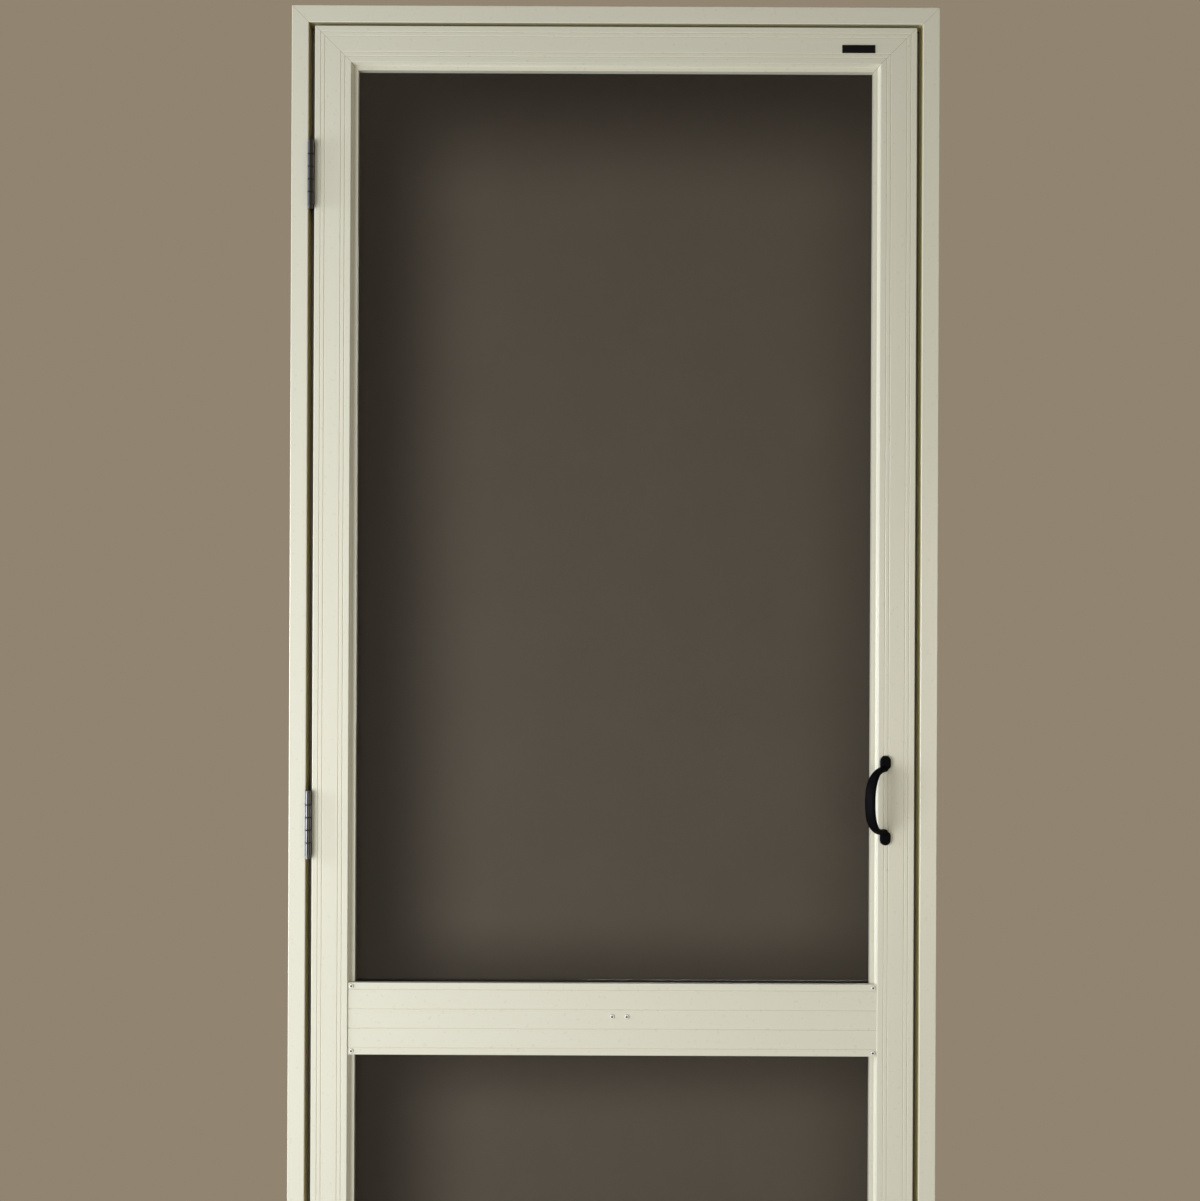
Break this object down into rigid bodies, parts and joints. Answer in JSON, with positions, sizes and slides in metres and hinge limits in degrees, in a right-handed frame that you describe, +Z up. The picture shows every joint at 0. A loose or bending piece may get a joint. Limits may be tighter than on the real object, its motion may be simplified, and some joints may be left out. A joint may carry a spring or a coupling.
{
  "type": "fly screen door",
  "caption": "Hinged fly screen door: mitred grooved leaf with insect screen, middle rail and pull handle, in a face-fixed three-sided frame with pile seals.",
  "frame": {"origin": "on the flat back face of the hinge jamb, in the middle of its width, at the floor", "axes": "+Z up, +X from the hinge side to the latch side, +Y into the wall; the leaf opens towards -Y"},
  "size_m": [0.914, 0.0747, 2.032],
  "materials": {
    "cream_paint": "gloss cream paint on extruded aluminium",
    "black_enamel": "gloss black",
    "screen_mesh": "charcoal-coated woven aluminium wire",
    "spline_rubber": "matt",
    "pile": "pile"
  },
  "bodies": {
    "door_frame": {"frame_head": "cream_paint", "frame_hinge_jamb": "cream_paint", "frame_latch_jamb": "cream_paint", "seal_head": "pile", "seal_hinge_side": "pile", "seal_latch_side": "pile", "hinge_top_frame_plate": "black_enamel", "hinge_top_pin": "black_enamel", "hinge_middle_frame_plate": "black_enamel", "hinge_middle_pin": "black_enamel", "hinge_bottom_frame_plate": "black_enamel", "hinge_bottom_pin": "black_enamel"},
    "door_leaf": {"leaf_top_rail": "cream_paint", "leaf_bottom_rail": "cream_paint", "leaf_hinge_stile": "cream_paint", "leaf_latch_stile": "cream_paint", "mid_rail_front": "cream_paint", "mid_rail_back": "cream_paint", "insect_screen": "screen_mesh", "spline_top_rail": "spline_rubber", "spline_bottom_rail": "spline_rubber", "spline_hinge_stile": "spline_rubber", "spline_latch_stile": "spline_rubber", "pull_handle": "black_enamel", "sweep_holder": "cream_paint", "sweep_brush": "pile", "hinge_top_leaf_plate": "black_enamel", "hinge_middle_leaf_plate": "black_enamel", "hinge_bottom_leaf_plate": "black_enamel"}
  },
  "joints": [
    {"name": "leaf_swing", "type": "hinge", "parent": "door_frame", "child": "door_leaf", "pos_m": [0.0064, -0.0424, 1], "axis": [0, 0, -1], "range_deg": [0, 170]}
  ]
}
